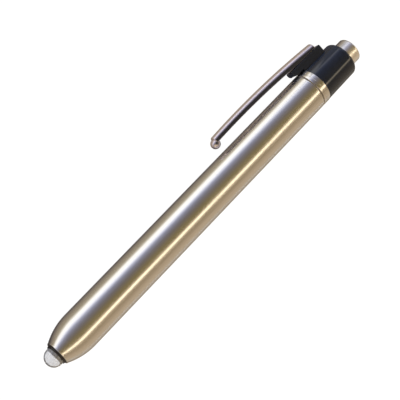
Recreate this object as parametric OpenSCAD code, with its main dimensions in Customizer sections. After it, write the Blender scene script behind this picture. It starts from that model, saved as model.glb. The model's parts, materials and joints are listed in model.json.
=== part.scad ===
// Metal pocket penlight: two small cells, a lens-end lamp in a bullet nose, a screw-off tail with a
// push button, and a sprung pocket clip. It lies at rest on its barrel and its clip.
// Every part is drawn on its own axis: z runs from the nose rim to the tail, x points to the clip.
// in_place() then lays the whole pen along X, with the beam towards +X.

/* [Cells] */
// Diameter of one cell
cell_d = 10.5; // [8:0.1:14]
// Length of one cell, over its raised contact
cell_len = 44.5; // [30:0.5:60]
// Diameter of the cell's raised contact
nub_d = 3.8; // [3:0.1:5]
// Height of the cell's raised contact
nub_h = 1; // [0.6:0.1:1.5]
// Wall of the cell's steel can
can_wall = 0.25; // [0.2:0.05:0.5]
// Thickness of the cell's plastic jacket
jacket = 0.12; // [0.08:0.01:0.2]
// Radial gap between cell and barrel
cell_gap = 0.25; // [0.15:0.05:0.6]

/* [Barrel] */
// Wall of the barrel tube
barrel_wall = 0.5; // [0.4:0.05:0.8]
// Length of the rounded nose
nose_len = 9.2; // [7:0.1:14]
// How far the nose narrows from the barrel's side to its rim
nose_drop = 2.33; // [1.8:0.05:2.8]
// Radius of the rolled bead at the nose rim
lip_r = 0.32; // [0.26:0.02:0.4]
// Chamfer on the barrel's open end
end_chamfer = 0.2; // [0.1:0.05:0.3]

/* [Lamp] */
// Radial thickness of the black ring between lens and rim
gasket_t = 0.33; // [0.25:0.01:0.5]
// How far that ring stands out of the nose
gasket_out = 0.66; // [0.4:0.02:1.5]
// How far the lens stands out of the nose
lens_out = 4.1; // [3.7:0.1:6]
// Distance from the nose rim to the lamp's rear contact
lamp_reach = 13.2; // [12.5:0.1:17]
// Radial space between the lamp's brass shell and the barrel's bore
shell_side = 1.7; // [1.4:0.1:2.2]
// Length of the lamp's brass shell
shell_len = 5.2; // [4:0.1:6]

/* [Tail] */
// Length of the threaded spigot inside the barrel
spigot_len = 5.5; // [4:0.1:8]
// Wall of the spigot
spigot_wall = 0.74; // [0.6:0.02:1]
// Lead of the thread: travel for one turn of the tail
thread_pitch = 1; // [0.8:0.05:1.25]
// Space between the rear cell and the spigot
spigot_gap = 2.2; // [1.5:0.1:5]
// Thickness of the seal in the seam
seal_t = 0.35; // [0.25:0.05:0.6]
// Length of the ferrule's outer band
band_len = 2.5; // [2:0.1:5]
// Length of the black collar
collar_len = 13.2; // [12:0.1:20]
// How much smaller in radius the collar is than the barrel, at its front
collar_step = 0.1; // [0:0.05:0.3]
// How much the collar narrows in radius towards its rear
collar_taper = 0.15; // [0:0.05:0.4]
// Rounding of the collar's rear edge
collar_round = 1.25; // [0.8:0.05:1.4]

/* [Button] */
// Wall of the collar round the push button
rim_wall = 1.75; // [1.5:0.05:2.5]
// How far the button stands out of the collar
button_out = 4.1; // [3:0.1:6]
// How far the button can be pressed
button_travel = 1.5; // [1:0.1:2]
// Rounding of the button's edge
button_round = 0.7; // [0.3:0.05:1]

/* [Clip] */
// Width of the clip
clip_w = 3.6; // [3:0.1:4.6]
// Thickness of the clip's sheet steel
clip_t = 0.45; // [0.35:0.05:0.6]
// Depth of the clip's channel
clip_depth = 2.5; // [2.2:0.1:3]
// Length of the clip, from its rear end to its ball
clip_len = 46; // [35:0.1:60]
// Radius of the clip's long bow
clip_bow = 300; // [200:10:600]
// Height of the bow's highest point above the barrel
clip_rise = 5.8; // [5:0.1:7]
// Distance from the clip's rear end to the bow's highest point
bow_at = 30.4; // [25:0.1:40]
// Radius of the ball at the clip's free end
ball_r = 1.55; // [1.3:0.05:1.8]
// Gap between that ball and the barrel
ball_gap = 1.75; // [1.2:0.05:2.5]
// Length of the block that carries the clip
block_len = 13.3; // [12:0.1:20]
// Width of the block
block_w = 3.8; // [3.2:0.1:5]
// Height of the block above the barrel
block_rise = 2.3; // [2:0.05:3]
// Gap between the barrel and the block that overhangs it
block_gap = 0.65; // [0.6:0.05:0.9]
// Distance from the block's rear face to the collar's rear end
block_back = 3.8; // [2:0.1:6]

/* [Clearances] */
// Radial gap of a turning or sliding fit
run_gap = 0.06; // [0.03:0.01:0.08]
// Gap between still pieces that sit in each other
seat_gap = 0.02; // [0.01:0.01:0.03]
// Gap between moving surfaces that only pass each other
pass_gap = 0.15; // [0.1:0.01:0.2]

/* [Hidden] */
$fn = 96;

// A cut that runs past a face by this much leaves no skin
over = 1;

// Barrel
cell_r = cell_d / 2;
nub_r = nub_d / 2;
bore_r = cell_r + cell_gap;
barrel_r = bore_r + barrel_wall;
nose_arc = (nose_len * nose_len + nose_drop * nose_drop) / (2 * nose_drop);
mid_wall_arc = nose_arc - barrel_wall / 2;
lip_centre_r = barrel_r - nose_arc + sqrt(mid_wall_arc * mid_wall_arc - pow(nose_len - lip_r, 2));
mouth_r = lip_centre_r - lip_r;

// Stations along the pen, from the nose rim
front_cell_z = lamp_reach;
rear_cell_z = front_cell_z + cell_len;
cells_end_z = rear_cell_z + cell_len;
spigot_z = cells_end_z + spigot_gap;
barrel_end_z = spigot_z + spigot_len;
band_z = barrel_end_z + seal_t + 2 * seat_gap;
collar_z = band_z + band_len;
collar_end_z = collar_z + collar_len;
button_end_z = collar_end_z + button_out;
mid_z = (nose_len + barrel_end_z - end_chamfer) / 2;

// Lamp
gasket_r = mouth_r - seat_gap;
lens_r = gasket_r - gasket_t;
glass_r = lens_r - seat_gap;
dome_z = glass_r - lens_out;
shell_r = bore_r - shell_side;
lens_solid_z = 0.6;
neck_z = 1.8;
bulb_z = 4.2;
bulb_r = shell_r - 0.1;
glass_wall = 0.5;
insulator_t = 0.9;
tip_t = 0.4;
shell_end_z = lamp_reach - insulator_t - tip_t;
shell_z = shell_end_z - shell_len;
shell_wall = 0.25;
shell_rib_r = 0.22;
holder_bore_r = shell_r + shell_rib_r + seat_gap;
glass_end_z = shell_z + 2;
holder_end_z = lamp_reach - 0.3;
washer_t = 0.7;
lead_x = 0.9;
lead_r = 0.12;
leads_end_z = glass_end_z - glass_wall;
filament_z = lens_solid_z + 1.3;

// Cells
nail_r = 0.6;
closure_t = 1.2;

// Tail
spigot_r = bore_r - run_gap;
ferrule_bore_r = spigot_r - spigot_wall;
bush_r = ferrule_bore_r - seat_gap;
bush_wall = 0.6;
bush_floor = 1;
shoulder_z = collar_z - 1.5;
counterbore_r = barrel_r - 0.8;
ring_t = 0.4;
ring_z = shoulder_z + seat_gap;
housing_z = ring_z + ring_t + seat_gap;
housing_spigot_r = counterbore_r - seat_gap;
seat_t = 0.4;
seat_z = shoulder_z - bush_floor - seat_t - seat_gap;
wire_r = 0.3;

// Collar, switch and button
collar_front_r = barrel_r - collar_step;
collar_rear_r = collar_front_r - collar_taper;
button_r = collar_rear_r - rim_wall;
button_bore_r = button_r + run_gap;
flange_r = button_r + 0.4;
flange_t = 0.9;
switch_bore_r = flange_r + run_gap;
stop_z = collar_end_z - 1.4;
flange_z = stop_z - flange_t - seat_gap;
disc_t = 0.4;
disc_z = ring_z + ring_t + button_travel + pass_gap;
disc_r = min(switch_bore_r, housing_spigot_r) - 0.9;
ring_bore_r = disc_r - 0.9;
rivet_head_r = 0.7 * ring_bore_r;
rivet_r = 0.6 * rivet_head_r;
retainer_t = 1.2;
retainer_z = disc_z + disc_t + 1.2;
plunger_r = 1.4;
plunger_tip_r = 0.8;
plunger_head_t = 0.6;
button_wall = 0.6;
button_roof_z = button_end_z - 0.8;

// Clip and its block
clip_r = clip_w / 2;
crown_r = barrel_r + clip_rise;
block_end_z = collar_end_z - block_back;
block_z = block_end_z - block_len;
block_top = barrel_r + block_rise;
clip_end_z = block_end_z - 1.5;
bow_z = clip_end_z - bow_at;
ball_x = barrel_r + ball_gap + ball_r;
ball_z = clip_end_z - clip_len + ball_r;
strip_z = ball_z + 0.15;
tip_end_z = strip_z + ball_r + 0.2;
pin_r = 0.4;
pin_z = clip_end_z - 1.7;
pin_x = block_top + 0.3;
rib_w = 2 * (clip_r - clip_t) - 1;
rib_top = pin_x + pin_r + 0.3;
rib_z = block_z + 3;
rib_end_z = pin_z + pin_r + 0.35;

// The pen rolls until its clip meets what it lies on, level with the barrel
lean = asin((barrel_r - clip_r) / (crown_r - clip_r));

// The angle round the bow's centre of a station along the pen
function bow_angle(z) = asin((z - bow_z) / clip_bow);

// Lays a part drawn on its own axis along X, beam towards +X, clip leaning towards -Y
module in_place() {
    rotate([90 + lean, 0, 0])
        rotate([0, -90, 0])
            translate([0, 0, -mid_z])
                children();
}

// A ring or disc from radius r0 to r1, between stations z0 and z1
module ring(r0, r1, z0, z1) {
    rotate_extrude()
        translate([r0, z0])
            square([r1 - r0, z1 - z0]);
}

// Half section of the nose: the area inside an arc that meets the barrel's side at nose_len
module nose_half(arc) {
    intersection() {
        translate([barrel_r - nose_arc, nose_len])
            circle(arc, $fn = 240);
        square([barrel_r, nose_len]);
    }
}

// A round wire wound from z0 to z1, from radius r0 to r1, as one closed sweep
module coil(r0, r1, z0, z1, wire, turns, steps = 24, sides = 8) {
    rings = turns * steps;
    points = [
        for (i = [0:rings], j = [0:sides - 1])
            let (
                part = i / rings,
                turn = 360 * turns * part,
                side = 360 * j / sides,
                r = r0 + (r1 - r0) * part + wire * cos(side),
                z = z0 + (z1 - z0) * part + wire * sin(side)
            )
            [r * cos(turn), r * sin(turn), z]
    ];
    walls = [
        for (i = [0:rings - 1], j = [0:sides - 1], half = [0, 1])
            let (
                a = i * sides + j,
                b = i * sides + (j + 1) % sides
            )
            half == 0 ? [a, b, b + sides] : [a, b + sides, a + sides]
    ];
    first = [for (j = [sides - 1:-1:0]) j];
    last = [for (j = [0:sides - 1]) rings * sides + j];
    polyhedron(points, concat([first], walls, [last]));
}

// Barrel: drawn tube with a rounded nose, a rolled rim and a plain rear bore
module barrel_tube() {
    color("silver")
        in_place()
            rotate_extrude() {
                difference() {
                    union() {
                        nose_half(nose_arc);
                        translate([0, nose_len])
                            square([barrel_r, barrel_end_z - nose_len]);
                    }
                    nose_half(nose_arc - barrel_wall);
                    translate([0, nose_len])
                        square([bore_r, barrel_end_z]);
                    square([barrel_r, lip_r]);
                    translate([0, -over])
                        square([mouth_r, nose_len / 2]);
                    polygon([
                        [barrel_r - end_chamfer, barrel_end_z],
                        [barrel_r + over, barrel_end_z + over],
                        [barrel_r + over, barrel_end_z - end_chamfer - over],
                        [barrel_r, barrel_end_z - end_chamfer]
                    ]);
                }
                translate([lip_centre_r, lip_r])
                    circle(lip_r);
            }
}

// Black ring that centres the lens in the nose and insulates it
module nose_gasket() {
    inner_end_z = 1.4;
    color("dimgray")
        in_place()
            ring(lens_r, gasket_r, -gasket_out, inner_end_z);
}

// Lamp glass: solid lens at the front, thin hollow bulb behind it
module lamp_glass() {
    neck_r = glass_r - glass_wall;
    color("white", 0.5)
        in_place()
            rotate_extrude()
                difference() {
                    union() {
                        intersection() {
                            translate([0, dome_z])
                                circle(glass_r);
                            translate([0, dome_z - glass_r])
                                square([glass_r, glass_r]);
                        }
                        polygon([
                            [0, dome_z],
                            [glass_r, dome_z],
                            [glass_r, neck_z],
                            [bulb_r, bulb_z],
                            [bulb_r, shell_z],
                            [bulb_r - shell_wall, shell_z],
                            [bulb_r - shell_wall, glass_end_z],
                            [0, glass_end_z]
                        ]);
                    }
                    polygon([
                        [0, lens_solid_z],
                        [neck_r, lens_solid_z],
                        [neck_r, neck_z],
                        [bulb_r - glass_wall, bulb_z],
                        [bulb_r - glass_wall - shell_wall, leads_end_z],
                        [0, leads_end_z]
                    ]);
                }
}

// Coiled filament, between the tips of its two leads
module lamp_filament() {
    coil_half = lead_x - lead_r - seat_gap;
    color("darkgray")
        in_place()
            translate([0, 0, filament_z])
                rotate([0, 90, 0])
                    coil(0.2, 0.2, -coil_half, coil_half, 0.05, 9, 12, 6);
}

// Two wires that hold the filament and bring it current
module lamp_leads() {
    color("gold")
        in_place()
            for (side = [-1, 1])
                translate([side * lead_x, 0, filament_z - 0.3])
                    cylinder(leads_end_z - seat_gap - (filament_z - 0.3), r = lead_r);
}

// Glass bead that ties the two leads together
module lamp_bead() {
    bead_r = 1.6;
    bead_t = 1;
    bead_z = leads_end_z - 2.6;
    color("white")
        in_place()
            difference() {
                ring(0, bead_r, bead_z, bead_z + bead_t);
                for (side = [-1, 1])
                    translate([side * lead_x, 0, bead_z - over])
                        cylinder(bead_t + 2 * over, r = lead_r + seat_gap);
            }
}

// Brass shell of the lamp, with its rolled screw shown as round ribs
module lamp_shell() {
    ribs = 4;
    rib_step = (shell_len - 1.4) / ribs;
    color("goldenrod")
        in_place()
            rotate_extrude() {
                translate([shell_r - shell_wall + seat_gap, shell_z + seat_gap])
                    square([shell_wall, shell_len - seat_gap]);
                for (i = [0:ribs - 1])
                    translate([shell_r, shell_z + 1 + rib_step * (i + 0.5)])
                        circle(shell_rib_r);
            }
}

// Black glass that closes the shell and insulates the rear contact
module lamp_insulator() {
    plug_r = shell_r - shell_wall;
    tip_r = 1.5;
    color("black")
        in_place()
            rotate_extrude()
                polygon([
                    [0, shell_end_z - 1],
                    [plug_r, shell_end_z - 1],
                    [plug_r, shell_end_z],
                    [tip_r, shell_end_z + insulator_t],
                    [0, shell_end_z + insulator_t]
                ]);
}

// Soldered rear contact of the lamp
module lamp_contact() {
    contact_r = 1.2;
    color("silver")
        in_place()
            ring(0, contact_r, lamp_reach - tip_t, lamp_reach);
}

// Brass sleeve that holds the lamp's shell and joins it to the barrel
module lamp_holder() {
    nose_part_r = holder_bore_r + 0.55;
    step_z = nose_len + 0.1;
    color("goldenrod")
        in_place() {
            ring(holder_bore_r, nose_part_r, shell_z + 1, step_z);
            ring(holder_bore_r, bore_r - seat_gap, step_z, holder_end_z);
        }
}

// Insulating washer that keeps the front cell's shoulder off the lamp holder
module contact_washer() {
    color("ivory")
        in_place()
            ring(nub_r + 0.3, bore_r - seat_gap, holder_end_z + seat_gap, holder_end_z + washer_t);
}

// Steel can of a cell, closed at the front round the raised contact
module cell_can(z) {
    can_r = cell_r - jacket;
    inner_r = can_r - can_wall;
    rotate_extrude()
        difference() {
            union() {
                translate([0, z])
                    square([nub_r, nub_h + can_wall]);
                translate([0, z + nub_h])
                    square([can_r, cell_len - nub_h]);
            }
            translate([0, z + can_wall])
                square([nub_r - can_wall, nub_h]);
            translate([0, z + nub_h + can_wall])
                square([inner_r, cell_len]);
        }
}

// Active filling of a cell, from the can's shoulder to its closure
module cell_filling(z) {
    filling_r = cell_r - jacket - can_wall - seat_gap;
    front = z + nub_h + can_wall + seat_gap;
    back = z + cell_len - 2 * closure_t - seat_gap;
    difference() {
        ring(0, filling_r, front, back);
        ring(0, nail_r + seat_gap, back - cell_len * 0.7, back + over);
    }
}

// Brass collector nail, from the closure deep into the filling
module cell_nail(z) {
    back = z + cell_len - closure_t - seat_gap;
    ring(0, nail_r, back - cell_len * 0.65, back);
}

// Plastic closure that seals the can round the nail
module cell_seal(z) {
    seal_r = cell_r - jacket - can_wall - seat_gap;
    back = z + cell_len - closure_t;
    ring(nail_r + seat_gap, seal_r, back - closure_t, back - seat_gap);
}

// Steel plate that closes the cell's rear end and touches the nail
module cell_base(z) {
    base_r = cell_r - jacket - can_wall - seat_gap;
    ring(0, base_r, z + cell_len - closure_t, z + cell_len);
}

// Thin plastic jacket round the can
module cell_jacket(z) {
    jacket_inset = 0.3;
    ring(cell_r - jacket + seat_gap / 2, cell_r, z + nub_h + jacket_inset, z + cell_len - jacket_inset);
}

module front_cell_can() color("silver") in_place() cell_can(front_cell_z);
module front_cell_filling() color("dimgray") in_place() cell_filling(front_cell_z);
module front_cell_nail() color("goldenrod") in_place() cell_nail(front_cell_z);
module front_cell_seal() color("white") in_place() cell_seal(front_cell_z);
module front_cell_base() color("silver") in_place() cell_base(front_cell_z);
module front_cell_jacket() color("darkgreen") in_place() cell_jacket(front_cell_z);
module rear_cell_can() color("silver") in_place() cell_can(rear_cell_z);
module rear_cell_filling() color("dimgray") in_place() cell_filling(rear_cell_z);
module rear_cell_nail() color("goldenrod") in_place() cell_nail(rear_cell_z);
module rear_cell_seal() color("white") in_place() cell_seal(rear_cell_z);
module rear_cell_base() color("silver") in_place() cell_base(rear_cell_z);
module rear_cell_jacket() color("darkgreen") in_place() cell_jacket(rear_cell_z);

// Thin fibre washer in the seam, round the spigot; it moves with the tail but doesn't turn
module seam_seal() {
    color("#6b6055")
        in_place()
            ring(bore_r, barrel_r - end_chamfer, barrel_end_z + seat_gap, barrel_end_z + seat_gap + seal_t);
}

// Steel ferrule: threaded spigot at the front, outer band with two turned edges and a groove
module tail_ferrule() {
    groove_z = band_z + 0.8;
    groove_w = 0.22;
    groove_depth = 0.12;
    band_edge = 0.25;
    threads = floor((spigot_len - 1.5) / thread_pitch);
    thread_depth = 0.3;
    color("silver")
        in_place()
            rotate_extrude()
                difference() {
                    union() {
                        translate([0, spigot_z])
                            square([spigot_r, collar_z - spigot_z]);
                        polygon([
                            [0, band_z],
                            [barrel_r - band_edge, band_z],
                            [barrel_r, band_z + band_edge],
                            [barrel_r, collar_z - band_edge / 2],
                            [barrel_r - band_edge / 2, collar_z],
                            [0, collar_z]
                        ]);
                    }
                    translate([0, spigot_z - over])
                        square([ferrule_bore_r, shoulder_z - spigot_z + over + over / 2]);
                    translate([0, shoulder_z])
                        square([counterbore_r, collar_z]);
                    translate([barrel_r - groove_depth, groove_z])
                        square([groove_depth + over, groove_w]);
                    for (i = [0:threads - 1])
                        let (z = spigot_z + 0.4 + thread_pitch * i)
                        polygon([
                            [spigot_r + 0.01, z],
                            [spigot_r + 0.01, z + thread_pitch * 0.6],
                            [spigot_r - thread_depth, z + thread_pitch * 0.35],
                            [spigot_r - thread_depth, z + thread_pitch * 0.25]
                        ]);
                }
}

// Insulating cup that holds the battery spring inside the ferrule
module spring_bush() {
    color("ivory")
        in_place() {
            ring(bush_r - bush_wall, bush_r, spigot_z + 1.2, shoulder_z - bush_floor);
            ring(rivet_r + seat_gap, bush_r, shoulder_z - bush_floor, shoulder_z);
        }
}

// Brass seat of the battery spring, riveted through the bush to make the switch's inner contact
module spring_seat() {
    seat_r = bush_r - bush_wall - seat_gap;
    color("goldenrod")
        in_place() {
            ring(0, seat_r, seat_z, seat_z + seat_t);
            ring(0, rivet_r, seat_z + seat_t, shoulder_z + seat_gap);
            ring(0, rivet_head_r, shoulder_z + seat_gap, shoulder_z + ring_t);
        }
}

// Tapered spring that presses the cells forward
module battery_spring() {
    wide_r = bush_r - bush_wall - wire_r - 2 * pass_gap;
    color("lightgray")
        in_place()
            coil(nub_r + 0.3, wide_r, cells_end_z + wire_r + seat_gap, seat_z - wire_r - seat_gap, wire_r, 4);
}

// Brass ring on the ferrule's shoulder: the switch's outer contact
module contact_ring() {
    color("goldenrod")
        in_place()
            ring(ring_bore_r, housing_spigot_r, ring_z, ring_z + ring_t);
}

// Half section of the collar, with its slight taper and rounded rear edge
module collar_half() {
    round_z = collar_end_z - collar_round;
    polygon([
        [0, collar_z + seat_gap],
        [collar_front_r, collar_z + seat_gap],
        [collar_rear_r, round_z],
        [0, round_z]
    ]);
    translate([0, round_z - over / 2])
        square([collar_rear_r - collar_round, collar_round + over / 2]);
    translate([collar_rear_r - collar_round, round_z])
        circle(collar_round);
}

// The block that carries the clip: side outline with a rounded nose, and the rib inside the clip
module clip_block() {
    nose_r = 0.45 * (block_rise - block_gap / 2);
    low = barrel_r - 0.9;
    corner_r = 0.3;
    translate([0, block_w / 2, 0])
        rotate([90, 0, 0])
            linear_extrude(block_w) {
                translate([low, block_z + nose_r])
                    square([block_top - low, block_len - nose_r - corner_r]);
                translate([low, block_z + nose_r])
                    square([block_top - corner_r - low, block_len - nose_r]);
                translate([block_top - corner_r, block_end_z - corner_r])
                    circle(corner_r);
                translate([barrel_r + block_gap / 2 + nose_r, block_z])
                    square([block_top - barrel_r - block_gap / 2 - nose_r, nose_r + over / 2]);
                translate([barrel_r + block_gap / 2 + nose_r, block_z + nose_r])
                    circle(nose_r);
            }
    translate([block_top - over / 2, -rib_w / 2, rib_z])
        cube([rib_top - block_top + over / 2, rib_w, rib_end_z - rib_z]);
}

// Black moulded housing: collar, switch bore and clip block in one piece
module switch_housing() {
    color("#15181f")
        in_place()
            difference() {
                union() {
                    rotate_extrude()
                        collar_half();
                    clip_block();
                }
                translate([0, 0, block_z - over])
                    cylinder(collar_z + seat_gap - block_z + over, r = barrel_r + block_gap);
                translate([0, 0, collar_z - over])
                    cylinder(stop_z - collar_z + over, r = switch_bore_r);
                translate([0, 0, stop_z - over])
                    cylinder(collar_end_z, r = button_bore_r);
                translate([pin_x, rib_w, pin_z])
                    rotate([90, 0, 0])
                        cylinder(2 * rib_w, r = pin_r + run_gap);
            }
    color("#15181f")
        in_place()
            ring(switch_bore_r, housing_spigot_r, housing_z, collar_z + over / 2);
}

// Ring pressed into the housing: it guides the plunger and carries the button's spring
module switch_retainer() {
    color("ivory")
        in_place()
            ring(plunger_r + run_gap, switch_bore_r - seat_gap, retainer_z, retainer_z + retainer_t);
}

// Turned metal push button: a cup with a flange that the housing holds back
module button_cap() {
    round_z = button_end_z - button_round;
    color("silver")
        in_place()
            rotate_extrude()
                difference() {
                    union() {
                        translate([0, flange_z])
                            square([flange_r, flange_t]);
                        translate([0, flange_z])
                            square([button_r, round_z - flange_z]);
                        translate([0, flange_z])
                            square([button_r - button_round, button_end_z - flange_z]);
                        translate([button_r - button_round, round_z])
                            circle(button_round);
                    }
                    translate([0, flange_z - over])
                        square([button_r - button_wall, button_roof_z - flange_z + over]);
                }
}

// Brass plunger, from the button's roof through the retainer to the contact disc
module button_plunger() {
    head_r = button_r - button_wall - seat_gap;
    head_z = button_roof_z - seat_gap - plunger_head_t;
    color("goldenrod")
        in_place() {
            ring(0, head_r, head_z, button_roof_z - seat_gap);
            ring(0, plunger_r, disc_z + disc_t + seat_gap, head_z);
            ring(0, plunger_tip_r, disc_z + seat_gap, disc_z + disc_t + seat_gap);
        }
}

// Spring that brings the button back
module button_spring() {
    spring_wire = 0.2;
    spring_r = (plunger_r + button_r - button_wall) / 2;
    back_z = button_roof_z - 2 * seat_gap - plunger_head_t - spring_wire;
    color("lightgray")
        in_place()
            coil(spring_r, spring_r, retainer_z + retainer_t + spring_wire + seat_gap, back_z, spring_wire, 6);
}

// Brass disc on the plunger that bridges the two contacts when the button is pressed
module contact_disc() {
    color("goldenrod")
        in_place()
            ring(plunger_tip_r + seat_gap, disc_r, disc_z, disc_z + disc_t);
}

// Section of the clip in its bow's plane: a round-topped channel, or the same filled for its end wall
module clip_section(filled) {
    difference() {
        union() {
            translate([clip_bow - clip_r, 0])
                circle(clip_r);
            translate([clip_bow - clip_depth, -clip_r])
                square([clip_depth - clip_r, clip_w]);
        }
        if (!filled) {
            translate([clip_bow - clip_r, 0])
                circle(clip_r - clip_t);
            translate([clip_bow - clip_depth - over, clip_t - clip_r])
                square([clip_depth - clip_r + over, clip_w - 2 * clip_t]);
        }
    }
}

// One stretch of the clip, swept round the bow's centre between two stations
module clip_stretch(z0, z1, filled) {
    translate([crown_r - clip_bow, 0, bow_z])
        rotate([90, 0, 0])
            rotate([0, 0, bow_angle(z0)])
                rotate_extrude(angle = bow_angle(z1) - bow_angle(z0), $fn = 720)
                    clip_section(filled);
}

// Spring steel pocket clip: bowed channel with a closed rear end and a solid tip with a ball
module clip_strip() {
    color("lightgray")
        in_place()
            difference() {
                union() {
                    clip_stretch(strip_z, clip_end_z - clip_t / 2, false);
                    clip_stretch(clip_end_z - clip_t, clip_end_z, true);
                    clip_stretch(strip_z, tip_end_z, true);
                    translate([ball_x, 0, ball_z])
                        sphere(ball_r, $fn = 64);
                }
                translate([0, -clip_w, block_z - 2])
                    cube([block_top + pass_gap, 2 * clip_w, block_len + over + 2]);
            }
}

// Pin inside the clip's rear end, through the rib of the housing
module clip_pin() {
    inner_r = clip_r - clip_t;
    bow_r = norm([pin_x - crown_r + clip_bow, pin_z - bow_z]) + pin_r;
    above_centre = max(0, bow_r - clip_bow + clip_r);
    pin_half = sqrt(inner_r * inner_r - above_centre * above_centre) - seat_gap;
    color("silver")
        in_place()
            translate([pin_x, pin_half, pin_z])
                rotate([90, 0, 0])
                    cylinder(2 * pin_half, r = pin_r);
}

barrel_tube();
nose_gasket();
lamp_glass();
lamp_filament();
lamp_leads();
lamp_bead();
lamp_shell();
lamp_insulator();
lamp_contact();
lamp_holder();
contact_washer();
front_cell_can();
front_cell_filling();
front_cell_nail();
front_cell_seal();
front_cell_base();
front_cell_jacket();
rear_cell_can();
rear_cell_filling();
rear_cell_nail();
rear_cell_seal();
rear_cell_base();
rear_cell_jacket();
seam_seal();
tail_ferrule();
spring_bush();
spring_seat();
battery_spring();
contact_ring();
switch_housing();
switch_retainer();
button_cap();
button_plunger();
button_spring();
contact_disc();
clip_strip();
clip_pin();
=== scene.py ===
"""Looks of the pocket penlight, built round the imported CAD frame.

Lengths are in mm, unless a name ends in _M, which is in metres. The pen's own axes: z runs from the nose
rim to the tail, x points to the clip and y sideways. PEN turns them into the row frame.
"""
import json
import math

import bmesh
import bpy
from mathutils import Matrix, Vector


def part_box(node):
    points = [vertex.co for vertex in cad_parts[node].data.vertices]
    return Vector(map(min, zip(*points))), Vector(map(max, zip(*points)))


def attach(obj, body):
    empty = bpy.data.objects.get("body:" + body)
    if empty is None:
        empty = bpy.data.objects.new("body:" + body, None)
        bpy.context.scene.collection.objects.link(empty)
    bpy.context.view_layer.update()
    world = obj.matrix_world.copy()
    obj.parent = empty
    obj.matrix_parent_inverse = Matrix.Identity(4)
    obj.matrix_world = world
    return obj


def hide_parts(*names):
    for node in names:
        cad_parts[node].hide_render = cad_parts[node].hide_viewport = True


MM = 0.001
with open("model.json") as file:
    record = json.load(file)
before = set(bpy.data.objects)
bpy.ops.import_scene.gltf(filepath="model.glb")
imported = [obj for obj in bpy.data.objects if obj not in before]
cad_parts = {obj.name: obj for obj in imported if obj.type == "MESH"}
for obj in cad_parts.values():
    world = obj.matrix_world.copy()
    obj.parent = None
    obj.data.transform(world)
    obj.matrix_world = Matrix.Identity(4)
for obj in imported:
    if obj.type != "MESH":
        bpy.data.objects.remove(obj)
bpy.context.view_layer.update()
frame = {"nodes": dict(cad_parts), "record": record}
nodes = frame["nodes"]
scene = bpy.context.scene


# ---------------------------------------------------------------- places read from the frame

def x_span(node):
    low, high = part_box(node)
    return low.x / MM, high.x / MM


NOSE_RIM_X = x_span("barrel_tube")[1]


def z_span(node):
    """First and last station of a CAD node along the pen, from the nose rim."""
    low, high = x_span(node)
    return NOSE_RIM_X - high, NOSE_RIM_X - low


BARREL_R = -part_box("barrel_tube")[0].z / MM
BARREL_END = z_span("barrel_tube")[1]
GASKET_Z, GASKET_END = z_span("nose_gasket")
LENS_Z, GLASS_END = z_span("lamp_glass")
SHELL_START = z_span("lamp_shell")[0]
SEAL_Z, SEAL_END = z_span("seam_seal")
FERRULE_START, COLLAR_Z = z_span("tail_ferrule")
BLOCK_Z, COLLAR_END = z_span("switch_housing")
BUTTON_Z, BUTTON_END = z_span("button_cap")
CLIP_START = z_span("clip_strip")[0]


# ---------------------------------------------------------------- sizes that several pieces share

SEAT = 0.02  # clearance of a piece that is seated in another
RUN = 0.06  # clearance of a piece that slides or turns in another
WALL = 0.5
BORE_R = BARREL_R - WALL
COUNTERBORE_R = BARREL_R - 0.8

NOSE_LEN, NOSE_DROP, LIP_R = 9.2, 2.33, 0.32
NOSE_ARC = (NOSE_LEN ** 2 + NOSE_DROP ** 2) / (2 * NOSE_DROP)
NOSE_CENTRE = BARREL_R - NOSE_ARC
LIP_CENTRE_R = NOSE_CENTRE + math.sqrt((NOSE_ARC - WALL / 2) ** 2 - (NOSE_LEN - LIP_R) ** 2)
GASKET_R = LIP_CENTRE_R - LIP_R - SEAT
GASKET_WALL = 0.33
LENS_R = GASKET_R - GASKET_WALL

BLOCK_END = COLLAR_END - 3.8
BLOCK_TOP = BARREL_R + 2.3
BLOCK_GAP = 0.65
CLIP_END = BLOCK_END - 1.5
CROWN_R = BARREL_R + 5.8
CLIP_R, CLIP_T = 1.8, 0.45
PIN_X, PIN_R, PIN_Z = BLOCK_TOP + 0.3, 0.4, CLIP_END - 1.7

# The pen lies on its barrel and its clip, which sets how far the clip leans.
LEAN = math.asin((BARREL_R - CLIP_R) / (CROWN_R - CLIP_R))
CLIP_WAY = Vector((0, -math.cos(LEAN), -math.sin(LEAN)))
SIDE_WAY = Vector((0, -math.sin(LEAN), math.cos(LEAN)))
TAIL_WAY = Vector((-1, 0, 0))
PEN = Matrix((
    (CLIP_WAY.x, SIDE_WAY.x, TAIL_WAY.x, NOSE_RIM_X * MM),
    (CLIP_WAY.y, SIDE_WAY.y, TAIL_WAY.y, 0),
    (CLIP_WAY.z, SIDE_WAY.z, TAIL_WAY.z, 0),
    (0, 0, 0, 1),
))


# ---------------------------------------------------------------- mesh helpers

def clamped(share):
    return min(1, max(0, share))


def arc(cr, cz, radius, start, end, steps):
    """Points (r, z) on an arc; the angles, in degrees, run from +r towards +z."""
    turn = (math.radians(start + (end - start) * i / steps) for i in range(steps + 1))
    return [(cr + radius * math.cos(t), cz + radius * math.sin(t)) for t in turn]


def nose_arc(radius, z0, z1, steps):
    """Points (r, z) on the nose's long arc, or on one concentric with it."""
    stations = (z0 + (z1 - z0) * i / steps for i in range(steps + 1))
    return [(NOSE_CENTRE + math.sqrt(radius ** 2 - (NOSE_LEN - z) ** 2), z) for z in stations]


def link_object(name, bm):
    """Make an object of a mesh, with nothing else done to it."""
    mesh = bpy.data.meshes.new(name)
    bm.to_mesh(mesh)
    bm.free()
    obj = bpy.data.objects.new(name, mesh)
    scene.collection.objects.link(obj)
    return obj


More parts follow.
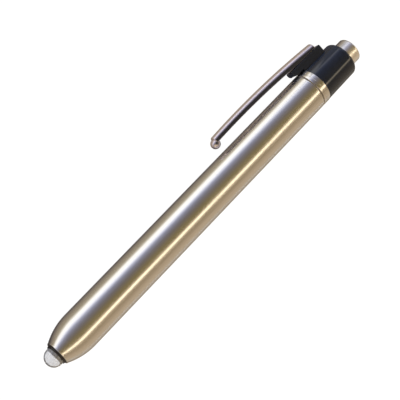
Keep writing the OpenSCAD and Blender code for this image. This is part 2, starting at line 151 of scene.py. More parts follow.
def finish_piece(name, bm, body, material, replaced, sharp=35, outward=True):
    """Make a piece of a mesh in the pen's own axes, in mm, and lay it in the row frame on its body."""
    bmesh.ops.remove_doubles(bm, verts=bm.verts, dist=1e-5)
    if outward:
        bmesh.ops.recalc_face_normals(bm, faces=bm.faces)
    bmesh.ops.scale(bm, vec=(MM, MM, MM), verts=bm.verts)
    obj = link_object(name, bm)
    obj.data.shade_smooth()
    obj.data.set_sharp_from_angle(angle=math.radians(sharp))
    obj.matrix_world = PEN
    obj.data.materials.append(material)
    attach(obj, body)
    if replaced:
        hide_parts(*replaced)


def revolved(bm, profile, sides, inward=False):
    """Add a closed outline of (r, z) points, turned round the pen's axis."""
    rings = []
    for r, z in profile:
        if r < 1e-6:
            rings.append([bm.verts.new((0, 0, z))])
            continue
        turn = (2 * math.pi * i / sides for i in range(sides))
        rings.append([bm.verts.new((r * math.cos(t), r * math.sin(t), z)) for t in turn])
    made = []
    for a, b in zip(rings, rings[1:] + rings[:1]):
        if len(a) == 1 and len(b) == 1:
            continue
        for i in range(sides):
            j = (i + 1) % sides
            if len(a) == 1:
                made.append(bm.faces.new((a[0], b[j], b[i])))
            elif len(b) == 1:
                made.append(bm.faces.new((a[i], a[j], b[0])))
            else:
                made.append(bm.faces.new((a[i], a[j], b[j], b[i])))
    bmesh.ops.recalc_face_normals(bm, faces=made)
    if inward:
        bmesh.ops.reverse_faces(bm, faces=made)


def swept(bm, sections):
    """Add a closed solid through a list of sections, each a loop of (x, y, z) points of the same count."""
    loops = [[bm.verts.new(p) for p in s] for s in sections]
    made = []
    for a, b in zip(loops, loops[1:]):
        for i in range(len(a)):
            j = (i + 1) % len(a)
            made.append(bm.faces.new((a[i], a[j], b[j], b[i])))
    made.append(bm.faces.new(loops[0][::-1]))
    made.append(bm.faces.new(loops[-1]))
    bmesh.ops.recalc_face_normals(bm, faces=made)


def slab(bm, outline, half, edge, steps=5):
    """Add an (x, z) outline extruded over y = -half..half, its two rims rounded by edge."""
    centre_x = sum(x for x, z in outline) / len(outline)
    centre_z = sum(z for x, z in outline) / len(outline)
    span_x = max(abs(x - centre_x) for x, z in outline)
    span_z = max(abs(z - centre_z) for x, z in outline)
    turn = [math.pi / 2 * i / steps for i in range(steps + 1)]
    offsets = [(-half + edge - edge * math.cos(t), edge * (1 - math.sin(t))) for t in turn]
    offsets += [(-y, inset) for y, inset in reversed(offsets)]
    sections = []
    for y, inset in offsets:
        fx, fz = 1 - inset / span_x, 1 - inset / span_z
        drawn_in = ((centre_x + (x - centre_x) * fx, centre_z + (z - centre_z) * fz) for x, z in outline)
        sections.append([(x, y, z) for x, z in drawn_in])
    swept(bm, sections)


def turned_solid(name, profile, sides):
    bm = bmesh.new()
    revolved(bm, profile, sides)
    return link_object(name, bm)


def turned_piece(name, profile, body, material, replaced, sides=192, sharp=35):
    bm = bmesh.new()
    revolved(bm, profile, sides)
    finish_piece(name, bm, body, material, replaced, sharp)


def combine(obj, tools, operation):
    """Apply exact booleans to a mesh object and remove the tools."""
    for tool in tools:
        modifier = obj.modifiers.new("cut", "BOOLEAN")
        modifier.operation = operation
        modifier.solver = "EXACT"
        modifier.object = tool
    bpy.context.view_layer.update()
    evaluated = obj.evaluated_get(bpy.context.evaluated_depsgraph_get())
    done = bpy.data.meshes.new_from_object(evaluated)
    obj.modifiers.clear()
    obj.data = done
    for tool in tools:
        bpy.data.objects.remove(tool)


# ---------------------------------------------------------------- material helpers

class Graph:
    """A node tree, with short ways to add the nodes that this file uses."""

    def __init__(self, tree):
        self.tree = tree
        self.coords = tree.nodes.new("ShaderNodeTexCoord")

    def add(self, kind, **settings):
        node = self.tree.nodes.new("ShaderNode" + kind)
        for key, value in settings.items():
            setattr(node, key, value)
        return node

    def feed(self, socket, value):
        """Set a socket to a number or a colour, or link another node's output to it."""
        if isinstance(value, bpy.types.NodeSocket):
            self.tree.links.new(value, socket)
        else:
            socket.default_value = (*value, 1) if isinstance(value, tuple) else value

    def noise(self, scale, stretch=(1, 1, 1), detail=4, roughness=0.55):
        """Noise in the piece's own metres; a stretch of 0.01 makes streaks along that axis."""
        mapping = self.add("Mapping")
        mapping.inputs["Scale"].default_value = stretch
        self.feed(mapping.inputs["Vector"], self.coords.outputs["Object"])
        node = self.add("TexNoise")
        self.feed(node.inputs["Scale"], scale)
        self.feed(node.inputs["Detail"], detail)
        self.feed(node.inputs["Roughness"], roughness)
        self.feed(node.inputs["Vector"], mapping.outputs["Vector"])
        return node.outputs["Fac"]

    def map_range(self, source, from_min, from_max, to_min, to_max):
        node = self.add("MapRange")
        self.feed(node.inputs["From Min"], from_min)
        self.feed(node.inputs["From Max"], from_max)
        self.feed(node.inputs["To Min"], to_min)
        self.feed(node.inputs["To Max"], to_max)
        self.feed(node.inputs["Value"], source)
        return node.outputs["Result"]

    def math(self, operation, a, b):
        node = self.add("Math", operation=operation)
        self.feed(node.inputs[0], a)
        self.feed(node.inputs[1], b)
        return node.outputs["Value"]

    def mix(self, factor, a, b):
        node = self.add("Mix", data_type="RGBA")
        self.feed(node.inputs["Factor"], factor)
        self.feed(node.inputs[6], a)
        self.feed(node.inputs[7], b)
        return node.outputs[2]

    def split(self, vector):
        node = self.add("SeparateXYZ")
        self.feed(node.inputs["Vector"], vector)
        return node.outputs["X"], node.outputs["Y"], node.outputs["Z"]

    def ramp(self, factor, stops, interpolation):
        """A colour ramp through (position, colour) stops, in rising order."""
        node = self.add("ValToRGB")
        self.feed(node.inputs["Fac"], factor)
        node.color_ramp.interpolation = interpolation
        while len(node.color_ramp.elements) < len(stops):
            node.color_ramp.elements.new(0.5)
        for element, (position, colour) in zip(node.color_ramp.elements, stops):
            element.position = position
            element.color = (*colour, 1)
        return node.outputs["Color"]


class Surface(Graph):
    """A new material and the graph that feeds its shader."""

    def __init__(self, name):
        self.material = bpy.data.materials.new(name)
        self.material.use_nodes = True
        super().__init__(self.material.node_tree)
        self.shader = self.tree.nodes["Principled BSDF"]

    def set(self, **sockets):
        for key, value in sockets.items():
            self.feed(self.shader.inputs[key.replace("_", " ")], value)

    def bump(self, height, strength, distance_m):
        node = self.add("Bump")
        self.feed(node.inputs["Strength"], strength)
        self.feed(node.inputs["Distance"], distance_m)
        self.feed(node.inputs["Height"], height)
        self.set(Normal=node.outputs["Normal"])


def brushed(name, light, dark, rough, grain, lengthwise, bump, flank=None):
    """Steel with a fine drawn or turned grain; flank, if given, is painted shade: a darker colour for its two
    sides, seen across y.
    """
    s = Surface(name)
    stretch = (1, 1, 0.012) if lengthwise else (0.05, 0.05, 1)
    fine = s.noise(grain, stretch, 2, 0.5)
    broad = s.noise(grain * 0.16, stretch, 3, 0.5)
    cloud = s.noise(90, detail=3, roughness=0.5)
    colour = s.mix(s.map_range(fine, 0.3, 0.7, 0, 1), dark, light)
    if flank:
        # Painted shade: the faces that look across y take the flank colour, darker than the top.
        facing = s.add("VectorMath", operation="DOT_PRODUCT")
        facing.inputs[1].default_value = (0, 1, 0)
        s.feed(facing.inputs[0], s.coords.outputs["Normal"])
        painted_shade_mask = s.math("ABSOLUTE", facing.outputs["Value"], 0)
        colour = s.mix(s.map_range(painted_shade_mask, 0.88, 0.99, 0, 1), colour, flank)
    streaks = s.math(
        "ADD", s.map_range(broad, 0.3, 0.7, -0.012, 0.012), s.map_range(cloud, 0.3, 0.7, -0.012, 0.016)
    )
    gloss = s.math("ADD", streaks, s.map_range(fine, 0.25, 0.75, rough * 0.93, rough * 1.08))
    s.bump(s.math("ADD", fine, broad), bump, 0.000004)
    s.set(Base_Color=colour, Roughness=gloss, Metallic=1.0)
    return s.material


def moulded(name, base, lighter, rough, texture=9000, bump=0.25, shine=0.5):
    """Moulded plastic: a very fine texture, and a faint unevenness of gloss."""
    s = Surface(name)
    pores = s.noise(texture, detail=3, roughness=0.6)
    cloud = s.noise(160, detail=4, roughness=0.5)
    clouded = s.map_range(cloud, 0.3, 0.7, rough * 0.9, rough * 1.12)
    gloss = s.math("ADD", clouded, s.map_range(pores, 0.3, 0.7, -0.02, 0.03))
    s.bump(pores, bump, 0.000004)
    s.set(Base_Color=s.mix(s.map_range(cloud, 0.35, 0.65, 0, 1), base, lighter), Roughness=gloss)
    s.set(Specular_IOR_Level=shine)
    return s.material


def plated(name, light, dark, rough, scale=700):
    """Pressed or drawn metal: patchy tarnish, small marks."""
    s = Surface(name)
    patch = s.noise(scale, detail=5, roughness=0.6)
    marks = s.noise(scale * 7, (0.15, 1, 1), 3, 0.6)
    tarnished = s.map_range(patch, 0.3, 0.7, rough * 1.25, rough * 0.85)
    gloss = s.math("ADD", tarnished, s.map_range(marks, 0.3, 0.7, -0.03, 0.05))
    s.bump(marks, 0.1, 0.000006)
    s.set(Base_Color=s.mix(s.map_range(patch, 0.3, 0.7, 0, 1), dark, light), Roughness=gloss, Metallic=1.0)
    return s.material


def clear(name, tint, rough, through=1.0):
    """Moulded glass with a faint waviness and a little dust."""
    s = Surface(name)
    wave = s.noise(420, detail=2, roughness=0.4)
    dust = s.noise(5200, detail=4, roughness=0.7)
    dusty = tuple(c * 0.93 for c in tint)
    s.bump(wave, 0.05, 0.00002)
    s.set(Base_Color=s.mix(s.map_range(dust, 0.6, 0.85, 0, 1), tint, dusty))
    s.set(Roughness=s.map_range(dust, 0.55, 0.8, rough, rough + 0.12), Transmission_Weight=through, IOR=1.5)
    return s.material


# ---------------------------------------------------------------- materials

barrel_steel = brushed("barrel_steel", (0.84, 0.825, 0.81), (0.77, 0.755, 0.735), 0.235, 9000, True, 0.012)
ferrule_steel = brushed("ferrule_steel", (0.84, 0.825, 0.81), (0.79, 0.775, 0.76), 0.22, 7000, False, 0.03)
button_steel = brushed("button_steel", (0.98, 0.96, 0.94), (0.92, 0.90, 0.88), 0.32, 6000, False, 0.02)
# The clip's flank colour is painted shade: its sides are darker than its top.
clip_steel = brushed(
    "clip_steel", (0.91, 0.84, 0.91), (0.80, 0.73, 0.80), 0.34, 8000, True, 0.02, flank=(0.10, 0.11, 0.16)
)
black_plastic = moulded("black_plastic", (0.013, 0.021, 0.043), (0.018, 0.026, 0.049), 0.08, 9000, 0.01, 0.6)
black_ring = moulded("black_ring", (0.018, 0.014, 0.012), (0.03, 0.024, 0.02), 0.42, 6000)
seal_fibre = moulded("seal_fibre", (0.30, 0.26, 0.22), (0.38, 0.33, 0.28), 0.5, 5000)
lamp_glass = clear("lamp_glass", (0.93, 0.95, 1.0), 0.03, 0.72)
SLOT_MATERIALS = {
    "barrel_steel": barrel_steel,
    "button_steel": button_steel,
    "clip_steel": clip_steel,
    "black_plastic": black_plastic,
    "black_ring": black_ring,
    "seal_fibre": seal_fibre,
    "lamp_glass": lamp_glass,
    "bead_glass": clear("bead_glass", (0.80, 0.86, 0.86), 0.08),
    "black_glass": moulded("black_glass", (0.02, 0.02, 0.025), (0.03, 0.03, 0.034), 0.12, 3000, 0.1),
    "tungsten": plated("tungsten", (0.36, 0.35, 0.35), (0.22, 0.21, 0.21), 0.45, 3000),
    "lead_wire": plated("lead_wire", (0.80, 0.56, 0.36), (0.60, 0.38, 0.22), 0.30, 2000),
    "brass": plated("brass", (0.86, 0.68, 0.36), (0.66, 0.48, 0.22), 0.26),
    "solder": plated("solder", (0.68, 0.68, 0.69), (0.46, 0.46, 0.47), 0.42, 1200),
    "spring_wire": plated("spring_wire", (0.72, 0.72, 0.74), (0.55, 0.55, 0.57), 0.22, 1500),
    "cell_steel": plated("cell_steel", (0.76, 0.76, 0.77), (0.62, 0.61, 0.61), 0.20, 500),
    "cell_filling": moulded("cell_filling", (0.05, 0.05, 0.055), (0.10, 0.10, 0.11), 0.85, 2500, 0.8),
    "cell_jacket": moulded("cell_jacket", (0.03, 0.11, 0.075), (0.05, 0.15, 0.10), 0.22, 5000, 0.15),
    "ivory_plastic": moulded("ivory_plastic", (0.74, 0.71, 0.62), (0.82, 0.79, 0.70), 0.45, 4000),
}
for part in frame["record"]["subparts"]:
    mesh = nodes[part["node"]].data
    mesh.materials.clear()
    mesh.materials.append(SLOT_MATERIALS[part["material_slot"]])


# ---------------------------------------------------------------- barrel

CHAMFER, BURR = 0.2, 0.05
LIP_OUT_Z, LIP_IN_Z = LIP_R + 0.14, LIP_R + 0.35  # where the lip's roll meets the nose's two sides
barrel_outline = (
    arc(LIP_CENTRE_R, LIP_R, LIP_R, -180, 14, 26)
    + nose_arc(NOSE_ARC, LIP_OUT_Z, NOSE_LEN, 48)
    + [(BARREL_R, BARREL_END - CHAMFER - BURR)]
    + arc(BARREL_R - CHAMFER, BARREL_END - CHAMFER, CHAMFER, 0, 90, 6)
    + [(BORE_R + BURR, BARREL_END), (BORE_R, BARREL_END - BURR)]
    + nose_arc(NOSE_ARC - WALL, NOSE_LEN, LIP_IN_Z, 24)
)
turned_piece(
    "barrel_tube_skin", barrel_outline, "barrel", barrel_steel, ["barrel_tube"], 256, 40
)

# ---------------------------------------------------------------- seam seal

SEAL_FLAT_R, SEAL_CREST_R = BARREL_R - 0.35, BARREL_R - 0.22
seal_outline = (
    [(BORE_R, SEAL_Z), (SEAL_FLAT_R, SEAL_Z)]
    + arc(SEAL_CREST_R, (SEAL_Z + SEAL_END) / 2, (SEAL_END - SEAL_Z) / 2, -90, 90, 8)
    + [(SEAL_FLAT_R, SEAL_END), (BORE_R, SEAL_END)]
)
turned_piece("seam_seal_ring", seal_outline, "seam_seal", seal_fibre, ["seam_seal"])

# ---------------------------------------------------------------- ferrule, with its spigot

FERRULE_Z = SEAL_END + SEAT
SPIGOT_R = BORE_R - RUN
FERRULE_BORE = SPIGOT_R - 0.74
SHOULDER_Z = COLLAR_Z - 1.5
SPIGOT_LEAD, FRONT_ROUND, REAR_ROUND = 0.1, 0.25, 0.13
THREADS, THREAD_START, THREAD_DEPTH, THREAD_FLANK, THREAD_FLOOR = 4, 0.4, 0.3, 0.25, 0.1


def thread_groove(z):
    floor_r, floor_z = SPIGOT_R - THREAD_DEPTH, z + THREAD_FLANK
    floor_end = floor_z + THREAD_FLOOR
    return [(SPIGOT_R, z), (floor_r, floor_z), (floor_r, floor_end), (SPIGOT_R, floor_end + THREAD_FLANK)]


def turned_line(z):
    """The fine groove round the ferrule, with its two edges broken."""
    depth, width, flank, brim, brim_drop = 0.13, 0.17, 0.03, 0.04, 0.05
    floor_z, floor_end = z + flank, z + flank + width
    front = [(BARREL_R, z - brim), (BARREL_R - brim_drop, z), (BARREL_R - depth, floor_z)]
    rear_z = floor_end + flank
    return front + [(BARREL_R - depth, floor_end), (BARREL_R - brim_drop, rear_z), (BARREL_R, rear_z + brim)]


ferrule_outline = (
    [(FERRULE_BORE, FERRULE_START), (SPIGOT_R - SPIGOT_LEAD, FERRULE_START)]
    + [(SPIGOT_R, FERRULE_START + SPIGOT_LEAD)]
    + [point for i in range(THREADS) for point in thread_groove(FERRULE_START + THREAD_START + i)]
    + [(SPIGOT_R, FERRULE_Z), (BARREL_R - FRONT_ROUND, FERRULE_Z)]
    + arc(BARREL_R - FRONT_ROUND, FERRULE_Z + FRONT_ROUND, FRONT_ROUND, -90, 0, 8)
    + turned_line(FERRULE_Z + 0.8)
    + arc(BARREL_R - REAR_ROUND, COLLAR_Z - REAR_ROUND, REAR_ROUND, 0, 90, 6)
    + [(COUNTERBORE_R, COLLAR_Z), (COUNTERBORE_R, SHOULDER_Z), (FERRULE_BORE, SHOULDER_Z)]
)
turned_piece(
    "tail_ferrule_skin", ferrule_outline, "tail", ferrule_steel, ["tail_ferrule"], 256
)

# ---------------------------------------------------------------- gasket

GASKET_IN_ROUND, GASKET_OUT_ROUND = 0.12, 0.16
gasket_outline = (
    arc(LENS_R + GASKET_IN_ROUND, GASKET_Z + GASKET_IN_ROUND, GASKET_IN_ROUND, 180, 270, 6)
    + arc(GASKET_R - GASKET_OUT_ROUND, GASKET_Z + GASKET_OUT_ROUND, GASKET_OUT_ROUND, -90, 0, 8)
    + [(GASKET_R, GASKET_END), (LENS_R, GASKET_END)]
)
turned_piece("nose_gasket_ring", gasket_outline, "barrel", black_ring, ["nose_gasket"])

# ---------------------------------------------------------------- lamp glass, hollow behind its lens

GLASS_R = LENS_R - SEAT
BULB_R = BORE_R - 1.7 - 0.1
GLASS_WALL, SHELL_WALL, GLASS_SIDES = 0.5, 0.25, 160
LENS_BACK, NECK_Z, BULB_Z = 0.6, 1.8, 4.2
SHELL_Z = SHELL_START - SEAT
outside = (
    [(0, LENS_Z)]
    + arc(0, LENS_Z + GLASS_R, GLASS_R, -88, 0, 48)
    + [(GLASS_R, NECK_Z), (BULB_R, BULB_Z), (BULB_R, SHELL_Z), (BULB_R - SHELL_WALL, SHELL_Z)]
    + [(BULB_R - SHELL_WALL, GLASS_END), (0, GLASS_END)]
)
hollow = [
    (0, LENS_BACK), (GLASS_R - GLASS_WALL, LENS_BACK), (GLASS_R - GLASS_WALL, NECK_Z),
    (BULB_R - GLASS_WALL, BULB_Z), (BULB_R - GLASS_WALL - SHELL_WALL, GLASS_END - GLASS_WALL),
    (0, GLASS_END - GLASS_WALL),
]
glass = bmesh.new()
revolved(glass, outside, GLASS_SIDES)
revolved(glass, hollow, GLASS_SIDES, inward=True)
finish_piece("lamp_glass_lens", glass, "barrel", lamp_glass, ["lamp_glass"], outward=False)

# ---------------------------------------------------------------- collar

COLLAR_FRONT = COLLAR_Z + SEAT
COLLAR_FRONT_R = BARREL_R - 0.1
COLLAR_REAR_R = COLLAR_FRONT_R - 0.15
COLLAR_EDGE, COLLAR_ROUND, MOUTH_ROUND = 0.1, 1.25, 0.12
BUTTON_R = COLLAR_REAR_R - 1.75
FLANGE_R = BUTTON_R + 0.4
BUTTON_BORE, SWITCH_BORE = BUTTON_R + RUN, FLANGE_R + RUN
HOUSING_Z, HOUSING_SPIGOT_R = COLLAR_Z - 1.06, COUNTERBORE_R - SEAT
STOP_Z = COLLAR_END - 1.4
collar_outline = (
    [(SWITCH_BORE, HOUSING_Z), (HOUSING_SPIGOT_R, HOUSING_Z), (HOUSING_SPIGOT_R, COLLAR_FRONT)]
    + [(COLLAR_FRONT_R - COLLAR_EDGE, COLLAR_FRONT)]
    + arc(COLLAR_FRONT_R - COLLAR_EDGE, COLLAR_FRONT + COLLAR_EDGE, COLLAR_EDGE, -90, 0, 5)
    + arc(COLLAR_REAR_R - COLLAR_ROUND, COLLAR_END - COLLAR_ROUND, COLLAR_ROUND, 0, 90, 20)
    + arc(BUTTON_BORE + MOUTH_ROUND, COLLAR_END - MOUTH_ROUND, MOUTH_ROUND, 90, 180, 5)
    + [(BUTTON_BORE, STOP_Z), (SWITCH_BORE, STOP_Z)]
)
turned_piece(
    "collar_moulding", collar_outline, "tail", black_plastic, ["switch_housing"], 256
)

# ---------------------------------------------------------------- clip block on the collar

BLOCK_HALF, BLOCK_EDGE, BLOCK_LOW = 1.9, 0.28, BARREL_R - 0.9
BLOCK_NOSE_R, TOP_FRONT_R, TOP_REAR_R = 1.2, 0.25, 0.3
RIB_HALF, RIB_EDGE, RIB_CHAMFER = CLIP_R - CLIP_T - 0.5, 0.1, 0.2
RIB_LOW, RIB_TOP = BLOCK_TOP - 0.5, PIN_X + PIN_R + 0.3
RIB_Z, RIB_END = BLOCK_Z + 3, PIN_Z + PIN_R + 0.35
NOSE_X = BARREL_R + BLOCK_GAP / 2
block_outline = (
    [(BLOCK_LOW, BLOCK_Z + BLOCK_NOSE_R)]
    + arc(NOSE_X + BLOCK_NOSE_R, BLOCK_Z + BLOCK_NOSE_R, BLOCK_NOSE_R, 180, 270, 14)
    + arc(BLOCK_TOP - TOP_FRONT_R, BLOCK_Z + TOP_FRONT_R, TOP_FRONT_R, -90, 0, 5)
    + arc(BLOCK_TOP - TOP_REAR_R, BLOCK_END - TOP_REAR_R, TOP_REAR_R, 0, 90, 6)
    + [(BLOCK_LOW, BLOCK_END)]
)
rib_outline = [
    (RIB_LOW, RIB_Z), (RIB_TOP - RIB_CHAMFER, RIB_Z), (RIB_TOP, RIB_Z + RIB_CHAMFER),
    (RIB_TOP, RIB_END), (RIB_LOW, RIB_END),
]


def slab_solid(name, outline, half, edge):
    bm = bmesh.new()
    slab(bm, outline, half, edge)
    return link_object(name, bm)


def barrel_clearance():
    """What the block keeps clear of: the barrel and ferrule with the gap over them."""
    radius = BARREL_R + BLOCK_GAP
    outline = [(0, BLOCK_Z - 1), (radius, BLOCK_Z - 1), (radius, COLLAR_FRONT), (0, COLLAR_FRONT)]
    return turned_solid("bore", outline, 192)


def collar_core():
    """What the block leaves to the collar's own wall and bore."""
    radius, start = SWITCH_BORE + 0.3, COLLAR_Z - 0.5
    return turned_solid("core", [(0, start), (radius, start), (radius, COLLAR_END), (0, COLLAR_END)], 96)


def pin_hole():
    bm = bmesh.new()
    place = Matrix.Translation((PIN_X, 0, PIN_Z)) @ Matrix.Rotation(math.pi / 2, 4, "X")
    radius, length = PIN_R + RUN, 5
    bmesh.ops.create_cone(
        bm, cap_ends=True, segments=48, radius1=radius, radius2=radius, depth=length, matrix=place
    )
    return link_object("hole", bm)


block = slab_solid("clip_block", block_outline, BLOCK_HALF, BLOCK_EDGE)
combine(block, [slab_solid("rib", rib_outline, RIB_HALF, RIB_EDGE)], "UNION")
combine(block, [barrel_clearance(), collar_core(), pin_hole()], "DIFFERENCE")
block_bm = bmesh.new()
block_bm.from_mesh(block.data)
bpy.data.objects.remove(block)
finish_piece("collar_clip_block", block_bm, "tail", black_plastic, [], 30)

# ---------------------------------------------------------------- button

BUTTON_WALL, BUTTON_ROOF, BUTTON_ROUND = 0.6, 0.8, 0.7
FLANGE_END, FLANGE_EDGE = BUTTON_Z + 0.9, 0.1
BUTTON_INNER_R, ROOF_Z = BUTTON_R - BUTTON_WALL, BUTTON_END - BUTTON_ROOF
button_outline = (
    [(BUTTON_INNER_R, BUTTON_Z), (FLANGE_R - FLANGE_EDGE, BUTTON_Z), (FLANGE_R, BUTTON_Z + FLANGE_EDGE)]
    + [(FLANGE_R, FLANGE_END - FLANGE_EDGE), (FLANGE_R - FLANGE_EDGE, FLANGE_END), (BUTTON_R, FLANGE_END)]
    + arc(BUTTON_R - BUTTON_ROUND, BUTTON_END - BUTTON_ROUND, BUTTON_ROUND, 0, 88, 20)
    + [(0, BUTTON_END), (0, ROOF_Z), (BUTTON_INNER_R, ROOF_Z)]
)
turned_piece("button_cap_skin", button_outline, "button", button_steel, ["button_cap"])

# ---------------------------------------------------------------- clip

BOW_Z, BOW_R = CLIP_END - 30.4, 300.0
BALL_R = 1.55
BALL_X, BALL_Z = BARREL_R + 1.75 + BALL_R, CLIP_START + BALL_R
TIP_HALF, REAR_HALF = 1.56, 1.84
TIP_DEPTH, DEPTH_GAIN = 2.15, 0.42
ROOF_SHARE = 0.94  # height of the rounded top, as a share of the half width
RIM_ROUND = 0.12
STEP_Z, STEP_LEN, STEP_CLEAR = BLOCK_Z - 2.2, 0.8, 0.15  # where the sides are cut back over the block


def crown(z):
    """Height of the clip's top, bowed along its length."""
    return CROWN_R - (z - BOW_Z) ** 2 / (2 * BOW_R)


def clip_half(z):
    """Half width of the clip: it tapers slightly towards the ball."""
    share = (z - BALL_Z) / (CLIP_END - BALL_Z)
    return TIP_HALF + (REAR_HALF - TIP_HALF) * clamped(share * 1.15)


def clip_depth(z):
    """Depth of the channel: deepest at the rear, where it is cut back to clear the block."""
    share = (z - BALL_Z) / (CLIP_END - BALL_Z)
    full = TIP_DEPTH + DEPTH_GAIN * clamped(share)
    clear_of_block = crown(z) - (BLOCK_TOP + STEP_CLEAR)
    step = clamped((z - STEP_Z) / STEP_LEN)
    return full + (min(full, clear_of_block) - full) * step


def channel_section(z, filled, inset=0.0, steps=20):
    """The clip's section at a station: a round-topped channel, or the same filled."""
    half, top, depth = clip_half(z) - inset, crown(z) - inset, clip_depth(z) - 2 * inset
    centre, low = top - half * ROOF_SHARE, top - depth
    inner, rim = half - CLIP_T, low + RIM_ROUND
    turn = [math.pi * i / steps for i in range(1, steps)]
    roof = [(centre + ROOF_SHARE * half * math.sin(t), -half * math.cos(t)) for t in turn]
    points = [(rim, -half), (centre, -half), *roof, (centre, half), (rim, half), (low, half - RIM_ROUND)]
    if not filled:
        ceiling = [(centre + (ROOF_SHARE * half - CLIP_T) * math.sin(t), inner * math.cos(t)) for t in turn]
        points += [(low, inner + RIM_ROUND), (rim, inner), (centre, inner), *ceiling]
        points += [(centre, -inner), (rim, -inner), (low, -inner - RIM_ROUND)]
    points += [(low, RIM_ROUND - half)]
    return [(x, y, z) for x, y in points]


STRIP_Z = BALL_Z + 0.15
TIP_END = STRIP_Z + BALL_R + 0.2
REAR_WALL = CLIP_END - CLIP_T
TIP_ROUND, END_ROUND, STATIONS = 0.3, 0.42, 120
quarter = [math.pi / 2 * i / 8 for i in range(9)]
channel = [
    channel_section(TIP_END + (REAR_WALL - TIP_END) * i / STATIONS, False) for i in range(STATIONS + 1)
]
rear_end = [
    channel_section(REAR_WALL + END_ROUND * math.sin(t), True, END_ROUND * (1 - math.cos(t))) for t in quarter
]
tip = [
    channel_section(STRIP_Z + TIP_ROUND * (1 - math.sin(t)), True, TIP_ROUND * (1 - math.cos(t)))
    for t in reversed(quarter)
]
clip_bm = bmesh.new()
swept(clip_bm, channel)
swept(clip_bm, rear_end)
swept(clip_bm, tip + [channel_section(TIP_END, True)])
bmesh.ops.create_uvsphere(
    clip_bm, u_segments=72, v_segments=48, radius=BALL_R, matrix=Matrix.Translation((BALL_X, 0, BALL_Z))
)
finish_piece("clip_strip_skin", clip_bm, "clip", clip_steel, ["clip_strip"], 30, outward=False)


# ---------------------------------------------------------------- camera

CAMERA_FROM_END, CAMERA_ROUND, CAMERA_ROLL = math.radians(19), math.radians(10), math.radians(46.08)
CAMERA_DISTANCE_M, FOCAL_LENGTH, SENSOR = 0.3813, 118.44, 36
AIM_Z, AIM_ACROSS = 61.0, 1.06


def place_camera():
    """Look at the pen with its nose turned a little to the camera, and rolled as in the photograph."""
    rise = math.pi / 2 - LEAN - CAMERA_ROUND
    away = Vector((
        math.sin(CAMERA_FROM_END),
        -math.cos(CAMERA_FROM_END) * math.cos(rise),
        math.cos(CAMERA_FROM_END) * math.sin(rise),
    ))
    along = (TAIL_WAY - TAIL_WAY.dot(away) * away).normalized()
    across = away.cross(along)
    right = math.cos(CAMERA_ROLL) * along - math.sin(CAMERA_ROLL) * across
    up = math.sin(CAMERA_ROLL) * along + math.cos(CAMERA_ROLL) * across
    target = Vector(((NOSE_RIM_X - AIM_Z) * MM, 0, 0)) + across * (AIM_ACROSS * MM)
    data = bpy.data.cameras.new("camera")
    data.lens = FOCAL_LENGTH
    data.sensor_width = SENSOR
    data.clip_start, data.clip_end = 0.01, 10
    camera = bpy.data.objects.new("camera", data)
    scene.collection.objects.link(camera)
    turn = Matrix((right, up, away)).transposed().to_4x4()
    camera.matrix_world = Matrix.Translation(target + away * CAMERA_DISTANCE_M) @ turn
    scene.camera = camera


place_camera()

# ---------------------------------------------------------------- floor and card

FLOOR_Z_M = -BARREL_R * MM
CARD_FRONT_M, CARD_BACK_M, CARD_LEN_M, CARD_LIFT_M = -0.20, 0.30, 0.6, 0.00002
# Brightness of the card by how far it lies behind the pen's axis, in mm; it is dark right under the pen, a
# painted shadow of the pen on the floor.
CARD_TONES = (
    (-200, (1.45, 1.45, 1.45)), (-30, (1.40, 1.38, 1.34)), (-25, (1.10, 1.05, 0.94)),
    (-20, (0.62, 0.56, 0.44)), (-16, (0.38, 0.33, 0.235)), (-12, (0.35, 0.29, 0.20)),
    (-9.5, (0.30, 0.25, 0.18)), (-7, (0.19, 0.155, 0.135)), (-4, (0.035, 0.028, 0.026)),
    (6, (0.035, 0.028, 0.026)), (14, (0.24, 0.20, 0.15)), (30, (0.40, 0.34, 0.26)),
    (300, (0.42, 0.35, 0.27)),
)
# A duller patch of the card, in front of the tail, is a painted reflection that dulls what the button
# reflects; it fades in over these two runs, and its edge is slanted.
PATCH_REFLECTION_COLOUR, PATCH_SLANT = (0.40, 0.40, 0.42), 0.345
PATCH_FRONT_M, PATCH_TAILWARD_M = (-0.018, -0.012), (-0.057, -0.062)


def card(name, centre, size, material):
    """A flat stage card, level with the floor."""
    bm = bmesh.new()
    bmesh.ops.create_grid(bm, x_segments=1, y_segments=1, size=0.5)
    bmesh.ops.scale(bm, vec=(size[0], size[1], 1), verts=bm.verts)
    obj = link_object(name, bm)
    obj.location = centre
    obj.data.materials.append(material)
    return obj


def floor_material():
    """A white surface that gives light of its own, like a light table."""
    s = Surface("floor_paper")
    paper = (0.12, 0.12, 0.12)
    fibre = s.map_range(s.noise(6, detail=2, roughness=0.5), 0.3, 0.7, 0, 1)
    s.set(Base_Color=s.mix(fibre, paper, tuple(c * 0.985 for c in paper)), Roughness=0.9)
    s.set(Specular_IOR_Level=0.0, Emission_Color=(1, 1, 1), Emission_Strength=1.0)
    return s.material


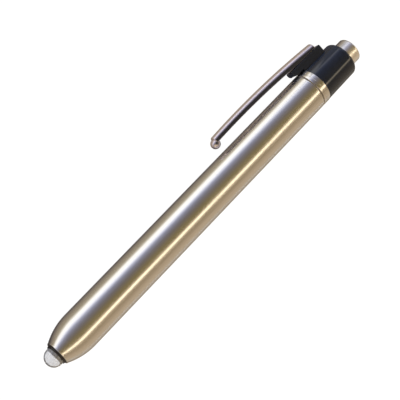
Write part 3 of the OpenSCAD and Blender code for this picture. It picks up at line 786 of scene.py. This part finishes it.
def card_material():
    """The glow of the card under the pen, from front to back, with its painted shadow of the pen and a duller
    patch in front of the tail, a painted reflection.
    """
    s = Surface("card_painted_shadow_and_reflection")
    x, y, _ = s.split(s.coords.outputs["Object"])
    shift = (CARD_FRONT_M + CARD_BACK_M) / 2
    depth = CARD_BACK_M - CARD_FRONT_M
    stops = [((tone_y * MM - CARD_FRONT_M) / depth, colour) for tone_y, colour in CARD_TONES]
    tones = s.ramp(s.map_range(y, CARD_FRONT_M - shift, CARD_BACK_M - shift, 0, 1), stops, "LINEAR")
    slanted = s.math("SUBTRACT", x, s.math("MULTIPLY", y, PATCH_SLANT))
    front = s.map_range(y, *(edge - shift for edge in PATCH_FRONT_M), 1, 0)
    tailward = s.map_range(slanted, *(edge + PATCH_SLANT * shift for edge in PATCH_TAILWARD_M), 0, 1)
    glow = s.mix(s.math("MULTIPLY", front, tailward), tones, PATCH_REFLECTION_COLOUR)
    s.set(Emission_Color=glow, Base_Color=(0.02, 0.02, 0.02), Roughness=0.9)
    s.set(Specular_IOR_Level=0.0, Emission_Strength=1.0)
    return s.material


card("floor", (0, 0, FLOOR_Z_M), (6, 6), floor_material())
card_centre = (0, (CARD_FRONT_M + CARD_BACK_M) / 2, FLOOR_Z_M + CARD_LIFT_M)
under = card("under_card", card_centre, (CARD_LEN_M, CARD_BACK_M - CARD_FRONT_M), card_material())
# The card is met only by reflections, so that the floor itself stays plain and pale; its tones are painted
# reflections, with a painted shadow of the pen right under it.
for way in ("camera", "diffuse", "transmission", "shadow", "volume_scatter"):
    setattr(under, "visible_" + way, False)

# ---------------------------------------------------------------- light and studio

STRIP_SIZE_M, STRIP_AWAY_M, STRIP_TAILWARD_M, STRIP_TILT = (1.4, 0.3), 0.5, -0.17, math.radians(98)
BRIGHTEST = 5.0  # the ramp's colours stop at 1, so they are divided by this and the background multiplied
# The studio round the pen, by degrees from level in front, over the top, to level behind: a bright front
# edge, a dim ceiling with one narrow lamp just past the top, and a warm wall behind.
STUDIO = (
    (0, (1.45, 1.48, 1.60)), (3, (1.20, 1.24, 1.45)), (10, (0.50, 0.52, 0.71)), (20, (0.25, 0.26, 0.36)),
    (30, (0.21, 0.20, 0.24)), (45, (0.16, 0.138, 0.13)), (64, (0.21, 0.16, 0.07)), (77, (0.24, 0.18, 0.07)),
    (85, (0.20, 0.15, 0.07)), (91, (0.40, 0.32, 0.18)), (95.5, (3.3, 2.75, 1.95)), (98.5, (3.3, 2.75, 1.95)),
    (103, (0.40, 0.32, 0.20)), (111, (0.26, 0.19, 0.115)), (135, (0.46, 0.35, 0.225)),
    (160, (0.57, 0.45, 0.31)), (180, (0.50, 0.41, 0.30)),
)


def strip_light():
    """A soft warm light over the pen, for the matt pieces only; the metal reflects the studio."""
    data = bpy.data.lights.new("strip", "AREA")
    data.shape = "RECTANGLE"
    data.size, data.size_y = STRIP_SIZE_M
    data.color = (1.0, 0.86, 0.64)
    data.energy = 0.25
    strip = bpy.data.objects.new("strip", data)
    strip.visible_glossy = False
    scene.collection.objects.link(strip)
    way = Vector((0, -math.cos(STRIP_TILT), math.sin(STRIP_TILT)))
    strip.location = way * STRIP_AWAY_M + Vector((STRIP_TAILWARD_M, 0, 0))
    strip.rotation_mode = "QUATERNION"
    strip.rotation_quaternion = Matrix(((1, 0, 0), (0, way.z, way.y), (0, -way.y, way.z))).to_quaternion()


def studio_world():
    """The studio as a world: reflections meet its tones, and the camera sees a plain white backdrop."""
    world = bpy.data.worlds.new("studio")
    world.use_nodes = True
    scene.world = world
    g = Graph(world.node_tree)
    _, y, z = g.split(g.coords.outputs["Generated"])
    angle = g.math("ARCTAN2", z, g.math("MULTIPLY", y, -1))
    stops = [(degrees / 180, tuple(c / BRIGHTEST for c in colour)) for degrees, colour in STUDIO]
    tones = g.ramp(g.map_range(angle, 0, math.pi, 0, 1), stops, "B_SPLINE")
    seen = g.add("LightPath").outputs["Is Camera Ray"]
    white = (1 / BRIGHTEST, 1 / BRIGHTEST, 1 / BRIGHTEST)
    background = g.tree.nodes["Background"]
    g.feed(background.inputs["Color"], g.mix(seen, tones, white))
    g.feed(background.inputs["Strength"], BRIGHTEST)


scene.view_settings.view_transform = "Standard"
strip_light()
studio_world()
